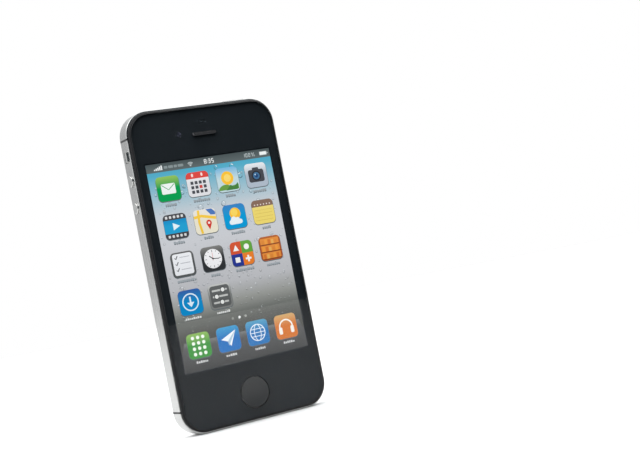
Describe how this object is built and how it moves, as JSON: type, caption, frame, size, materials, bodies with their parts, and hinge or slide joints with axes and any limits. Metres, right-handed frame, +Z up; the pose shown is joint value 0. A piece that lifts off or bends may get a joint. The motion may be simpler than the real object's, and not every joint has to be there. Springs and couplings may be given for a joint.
{
  "type": "personal digital assistant",
  "caption": "Flat pocket handheld with a touch screen, glass front and back, steel edge band, push buttons, a mute slider, a card tray and plug sockets.",
  "frame": {"origin": "middle of the bottom edge, on the face that it stands on", "axes": "+Z up along the long side towards the ear piece, +X to the right of a person looking at the screen, -Y out of the screen"},
  "size_m": [0.0591, 0.0094, 0.1157],
  "materials": {
    "band_top": "brushed satin",
    "band_bottom": "brushed satin",
    "band_left": "brushed satin",
    "band_right": "brushed satin",
    "antenna_gap_inserts": "matte",
    "mid_plate": "satin",
    "front_glass": "polished",
    "border_film": "printed black",
    "back_glass": "polished",
    "front_rim": "satin",
    "back_rim": "satin",
    "case_screws": "satin",
    "touch_sensor": "clear",
    "lcd_panel": "lit display",
    "display_flex": "polyimide",
    "earpiece_mesh": "woven dark",
    "earpiece_speaker": "satin",
    "front_camera": "satin",
    "front_camera_lens": "coated",
    "light_sensor": "dark clear",
    "home_button": "semi gloss",
    "home_plunger": "matte",
    "home_switch": "satin",
    "volume_up_button": "polished",
    "volume_down_button": "polished",
    "volume_switches": "satin",
    "mute_lever": "polished",
    "mute_switch": "matte",
    "power_button": "polished",
    "power_switch": "satin",
    "headphone_jack": "satin",
    "vibrator_motor": "satin",
    "vibrator_shaft": "ground",
    "vibrator_weight": "sintered",
    "camera_housing": "satin",
    "lens_barrel": "matte",
    "camera_lens": "coated",
    "camera_trim": "anodised",
    "camera_window": "polished",
    "flash_window": "frosted",
    "flash_led": "phosphor",
    "battery": "wrapped foil",
    "logic_board": "solder mask",
    "board_screws": "satin",
    "upper_shield": "tinned",
    "lower_shield": "tinned",
    "main_chip": "moulded",
    "memory_chip": "moulded",
    "battery_connector": "satin",
    "dock_connector": "satin",
    "dock_contacts": "gold plated",
    "dock_flex": "polyimide",
    "speaker_box": "satin",
    "microphone": "plated",
    "port_meshes": "woven dark",
    "sim_tray": "satin",
    "sim_card": "smooth",
    "sim_connector": "satin",
    "eject_lever": "satin",
    "push_rod": "ground"
  },
  "bodies": {
    "handset": {"band_top": "band_top", "band_bottom": "band_bottom", "band_left": "band_left", "band_right": "band_right", "antenna_gap_inserts": "antenna_gap_inserts", "mid_plate": "mid_plate", "front_glass": "front_glass", "border_film": "border_film", "back_glass": "back_glass", "front_rim": "front_rim", "back_rim": "back_rim", "case_screws": "case_screws", "touch_sensor": "touch_sensor", "lcd_panel": "lcd_panel", "display_flex": "display_flex", "earpiece_mesh": "earpiece_mesh", "earpiece_speaker": "earpiece_speaker", "front_camera": "front_camera", "front_camera_lens": "front_camera_lens", "light_sensor": "light_sensor", "home_switch": "home_switch", "volume_switches": "volume_switches", "mute_switch": "mute_switch", "power_switch": "power_switch", "headphone_jack": "headphone_jack", "vibrator_motor": "vibrator_motor", "camera_housing": "camera_housing", "camera_trim": "camera_trim", "camera_window": "camera_window", "flash_window": "flash_window", "flash_led": "flash_led", "battery": "battery", "logic_board": "logic_board", "board_screws": "board_screws", "upper_shield": "upper_shield", "lower_shield": "lower_shield", "main_chip": "main_chip", "memory_chip": "memory_chip", "battery_connector": "battery_connector", "dock_connector": "dock_connector", "dock_contacts": "dock_contacts", "dock_flex": "dock_flex", "speaker_box": "speaker_box", "microphone": "microphone", "port_meshes": "port_meshes", "sim_connector": "sim_connector"},
    "power_button": {"power_button": "power_button"},
    "volume_up": {"volume_up_button": "volume_up_button"},
    "volume_down": {"volume_down_button": "volume_down_button"},
    "mute": {"mute_lever": "mute_lever"},
    "home": {"home_button": "home_button", "home_plunger": "home_plunger"},
    "card_tray": {"sim_tray": "sim_tray", "sim_card": "sim_card"},
    "eject_arm": {"eject_lever": "eject_lever"},
    "eject_rod": {"push_rod": "push_rod"},
    "vibrator_rotor": {"vibrator_shaft": "vibrator_shaft", "vibrator_weight": "vibrator_weight"},
    "focus_lens": {"lens_barrel": "lens_barrel", "camera_lens": "camera_lens"}
  },
  "joints": [
    {"name": "power_press", "type": "slide", "parent": "handset", "child": "power_button", "axis": [0, 0, -1], "range_m": [0, 0.00035], "stiffness_N_per_m": 900},
    {"name": "volume_up_press", "type": "slide", "parent": "handset", "child": "volume_up", "axis": [1, 0, 0], "range_m": [0, 0.00035], "stiffness_N_per_m": 900},
    {"name": "volume_down_press", "type": "slide", "parent": "handset", "child": "volume_down", "axis": [1, 0, 0], "range_m": [0, 0.00035], "stiffness_N_per_m": 900},
    {"name": "mute_slide", "type": "slide", "parent": "handset", "child": "mute", "axis": [0, 1, 0], "range_m": [0, 0.0015]},
    {"name": "home_press", "type": "slide", "parent": "handset", "child": "home", "axis": [0, 1, 0], "range_m": [0, 0.0004], "stiffness_N_per_m": 900},
    {"name": "sim_tray_slide", "type": "slide", "parent": "handset", "child": "card_tray", "axis": [1, 0, 0], "range_m": [0, 0.0165]},
    {"name": "eject_push", "type": "slide", "parent": "handset", "child": "eject_rod", "axis": [-1, 0, 0], "range_m": [0, 0.0008]},
    {"name": "eject_swing", "type": "hinge", "parent": "handset", "child": "eject_arm", "pos_m": [0.0089, 0.0001, 0.0664], "axis": [0, -1, 0], "range_deg": [0, 12.5]},
    {"name": "vibrator_spin", "type": "hinge", "parent": "handset", "child": "vibrator_rotor", "pos_m": [0, 0.0012, 0.108], "axis": [1, 0, 0], "continuous": true},
    {"name": "lens_focus", "type": "slide", "parent": "handset", "child": "focus_lens", "axis": [0, 1, 0], "range_m": [0, 0.00025], "stiffness_N_per_m": 200}
  ],
  "couplings": [
    {"joint": "eject_swing", "follows": "eject_push", "rad_per_m": 238}
  ]
}
